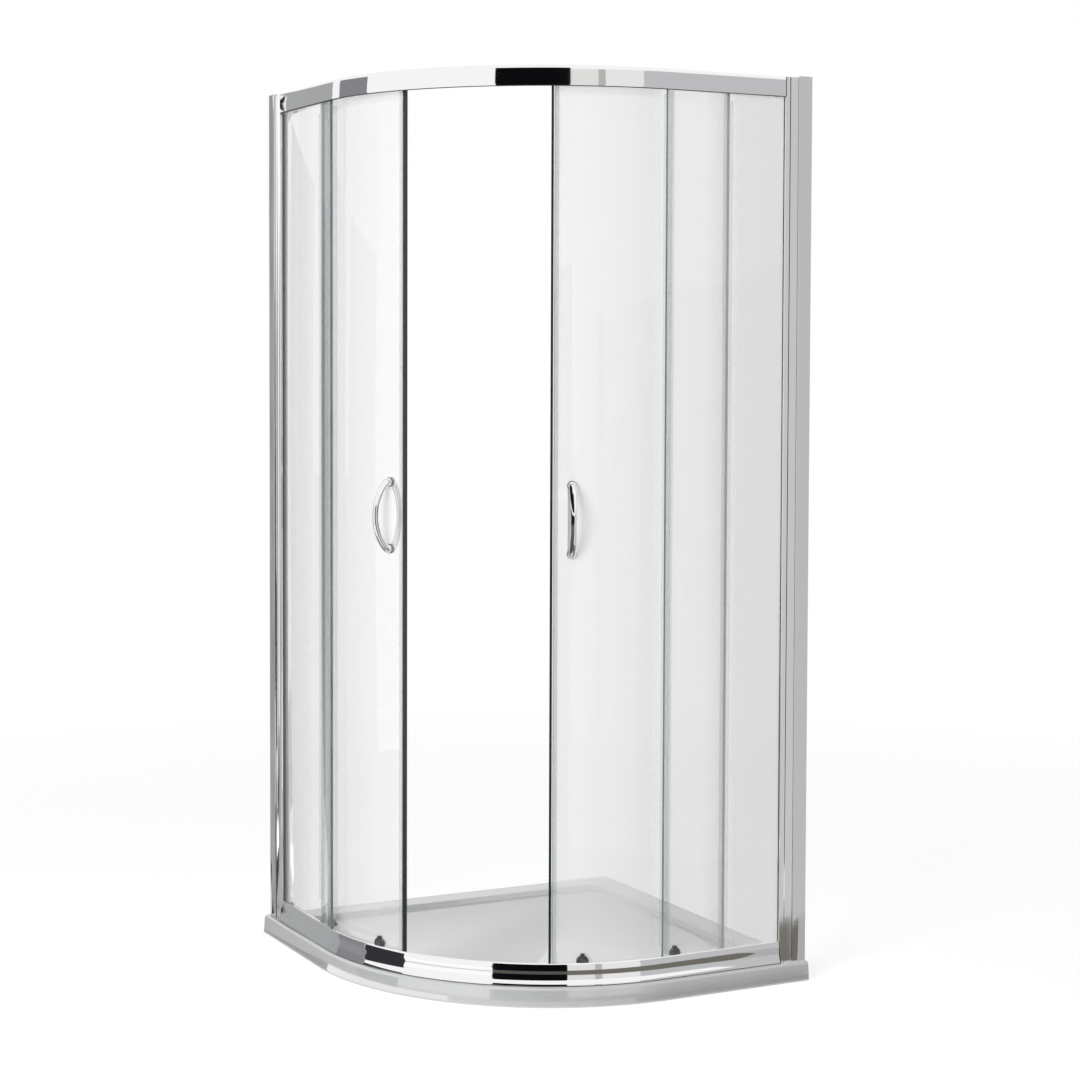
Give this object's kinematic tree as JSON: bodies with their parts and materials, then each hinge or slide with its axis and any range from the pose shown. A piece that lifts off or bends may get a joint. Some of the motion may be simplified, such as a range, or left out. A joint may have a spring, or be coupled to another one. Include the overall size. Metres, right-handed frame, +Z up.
{
  "type": "quadrant shower enclosure",
  "caption": "Quadrant shower enclosure: a low curved-front tray, chrome rails and posts, flat fixed glass panels and curved glass doors that slide apart on rollers.",
  "frame": {"origin": "on the floor, under the middle of the square that the tray fills", "axes": "+Z up; +X and +Y towards the two walls, so the curved doors face -X -Y"},
  "size_m": [0.9, 0.9, 1.9185],
  "materials": {
    "tray_white": "white gloss surface on a stone-resin tray",
    "rail_chrome": "bright polished aluminium extrusion",
    "profile_chrome": "bright anodised aluminium",
    "black_plastic": "satin black moulding",
    "cap_chrome": "chrome-coloured moulding",
    "screw_steel": "stainless steel",
    "clear_glass": "clear 6 mm toughened glass",
    "gasket_rubber": "black rubber",
    "clear_seal": "translucent flexible PVC",
    "magnet_black": "black magnetic strip",
    "handle_chrome": "mirror chrome",
    "wheel_nylon": "white nylon",
    "roller_grey": "dark grey gloss moulding"
  },
  "bodies": {
    "enclosure": {"adjusting_screws": "screw_steel", "bottom_rail": "rail_chrome", "channel_cap_left": "cap_chrome", "channel_cap_right": "cap_chrome", "door_buffers": "gasket_rubber", "fixed_glass_left": "clear_glass", "fixed_glass_right": "clear_glass", "fixed_seal_left": "clear_seal", "fixed_seal_right": "clear_seal", "frame_post_left": "profile_chrome", "frame_post_right": "profile_chrome", "glazing_gasket_left": "gasket_rubber", "glazing_gasket_right": "gasket_rubber", "rail_end_block_bottom_left": "black_plastic", "rail_end_block_bottom_right": "black_plastic", "rail_end_block_top_left": "black_plastic", "rail_end_block_top_right": "black_plastic", "rail_screws": "screw_steel", "shower_tray": "tray_white", "top_rail": "rail_chrome", "wall_channel_left": "profile_chrome", "wall_channel_right": "profile_chrome"},
    "door_right": {"bottom_housing_right_lead": "roller_grey", "bottom_housing_right_trail": "roller_grey", "bottom_roller_bolts_right": "screw_steel", "door_glass_right": "clear_glass", "handle_bolts_right": "screw_steel", "handle_inner_right": "handle_chrome", "handle_outer_right": "handle_chrome", "magnet_seal_right": "clear_seal", "magnet_strip_right": "magnet_black", "release_spring_right_lead": "screw_steel", "release_spring_right_trail": "screw_steel", "top_roller_bolts_right": "screw_steel", "trailing_seal_right": "clear_seal"},
    "top_wheel_right_lead": {"top_wheel_right_lead": "wheel_nylon"},
    "release_carrier_right_lead": {"release_carrier_right_lead": "roller_grey"},
    "bottom_wheel_right_lead": {"bottom_wheel_right_lead": "wheel_nylon"},
    "top_wheel_right_trail": {"top_wheel_right_trail": "wheel_nylon"},
    "release_carrier_right_trail": {"release_carrier_right_trail": "roller_grey"},
    "bottom_wheel_right_trail": {"bottom_wheel_right_trail": "wheel_nylon"},
    "door_left": {"bottom_housing_left_lead": "roller_grey", "bottom_housing_left_trail": "roller_grey", "bottom_roller_bolts_left": "screw_steel", "door_glass_left": "clear_glass", "handle_bolts_left": "screw_steel", "handle_inner_left": "handle_chrome", "handle_outer_left": "handle_chrome", "magnet_seal_left": "clear_seal", "magnet_strip_left": "magnet_black", "release_spring_left_lead": "screw_steel", "release_spring_left_trail": "screw_steel", "top_roller_bolts_left": "screw_steel", "trailing_seal_left": "clear_seal"},
    "top_wheel_left_lead": {"top_wheel_left_lead": "wheel_nylon"},
    "release_carrier_left_lead": {"release_carrier_left_lead": "roller_grey"},
    "bottom_wheel_left_lead": {"bottom_wheel_left_lead": "wheel_nylon"},
    "top_wheel_left_trail": {"top_wheel_left_trail": "wheel_nylon"},
    "release_carrier_left_trail": {"release_carrier_left_trail": "roller_grey"},
    "bottom_wheel_left_trail": {"bottom_wheel_left_trail": "wheel_nylon"}
  },
  "joints": [
    {"name": "door_right_travel", "type": "hinge", "parent": "enclosure", "child": "door_right", "pos_m": [0.123, 0.118, 0], "axis": [0, 0, 1], "range_deg": [-17.4, 5]},
    {"name": "top_wheel_right_lead_spin", "type": "hinge", "parent": "door_right", "child": "top_wheel_right_lead", "pos_m": [-0.06283, -0.38258, 1.8878], "axis": [-0.3355, -0.9421, 0], "continuous": true},
    {"name": "release_right_lead_press", "type": "slide", "parent": "door_right", "child": "release_carrier_right_lead", "axis": [0, 0, -1], "range_m": [0, 0.004], "stiffness_N_per_m": 800, "springref_m": -0.004, "deforming": ["release_spring_right_lead"]},
    {"name": "bottom_wheel_right_lead_spin", "type": "hinge", "parent": "release_carrier_right_lead", "child": "bottom_wheel_right_lead", "pos_m": [-0.06283, -0.38258, 0.0647], "axis": [-0.3355, -0.9421, 0], "continuous": true},
    {"name": "top_wheel_right_trail_spin", "type": "hinge", "parent": "door_right", "child": "top_wheel_right_trail", "pos_m": [0.14233, -0.41087, 1.8878], "axis": [0.068, -0.9977, 0], "continuous": true},
    {"name": "release_right_trail_press", "type": "slide", "parent": "door_right", "child": "release_carrier_right_trail", "axis": [0, 0, -1], "range_m": [0, 0.004], "stiffness_N_per_m": 800, "springref_m": -0.004, "deforming": ["release_spring_right_trail"]},
    {"name": "bottom_wheel_right_trail_spin", "type": "hinge", "parent": "release_carrier_right_trail", "child": "bottom_wheel_right_trail", "pos_m": [0.14233, -0.41087, 0.0647], "axis": [0.068, -0.9977, 0], "continuous": true},
    {"name": "door_left_travel", "type": "hinge", "parent": "enclosure", "child": "door_left", "pos_m": [0.118, 0.123, 0], "axis": [0, 0, -1], "range_deg": [-17.4, 5]},
    {"name": "top_wheel_left_lead_spin", "type": "hinge", "parent": "door_left", "child": "top_wheel_left_lead", "pos_m": [-0.38258, -0.06283, 1.8878], "axis": [-0.9421, -0.3355, 0], "continuous": true},
    {"name": "release_left_lead_press", "type": "slide", "parent": "door_left", "child": "release_carrier_left_lead", "axis": [0, 0, -1], "range_m": [0, 0.004], "stiffness_N_per_m": 800, "springref_m": -0.004, "deforming": ["release_spring_left_lead"]},
    {"name": "bottom_wheel_left_lead_spin", "type": "hinge", "parent": "release_carrier_left_lead", "child": "bottom_wheel_left_lead", "pos_m": [-0.38258, -0.06283, 0.0647], "axis": [-0.9421, -0.3355, 0], "continuous": true},
    {"name": "top_wheel_left_trail_spin", "type": "hinge", "parent": "door_left", "child": "top_wheel_left_trail", "pos_m": [-0.41087, 0.14233, 1.8878], "axis": [-0.9977, 0.068, 0], "continuous": true},
    {"name": "release_left_trail_press", "type": "slide", "parent": "door_left", "child": "release_carrier_left_trail", "axis": [0, 0, -1], "range_m": [0, 0.004], "stiffness_N_per_m": 800, "springref_m": -0.004, "deforming": ["release_spring_left_trail"]},
    {"name": "bottom_wheel_left_trail_spin", "type": "hinge", "parent": "release_carrier_left_trail", "child": "bottom_wheel_left_trail", "pos_m": [-0.41087, 0.14233, 0.0647], "axis": [-0.9977, 0.068, 0], "continuous": true}
  ],
  "couplings": [
    {"joint": "top_wheel_right_lead_spin", "follows": "door_right_travel", "ratio": -82.148},
    {"joint": "bottom_wheel_right_lead_spin", "follows": "door_right_travel", "ratio": 82.148},
    {"joint": "top_wheel_right_trail_spin", "follows": "door_right_travel", "ratio": -81.419},
    {"joint": "bottom_wheel_right_trail_spin", "follows": "door_right_travel", "ratio": 81.419},
    {"joint": "top_wheel_left_lead_spin", "follows": "door_left_travel", "ratio": 82.148},
    {"joint": "bottom_wheel_left_lead_spin", "follows": "door_left_travel", "ratio": -82.148},
    {"joint": "top_wheel_left_trail_spin", "follows": "door_left_travel", "ratio": 81.419},
    {"joint": "bottom_wheel_left_trail_spin", "follows": "door_left_travel", "ratio": -81.419}
  ]
}
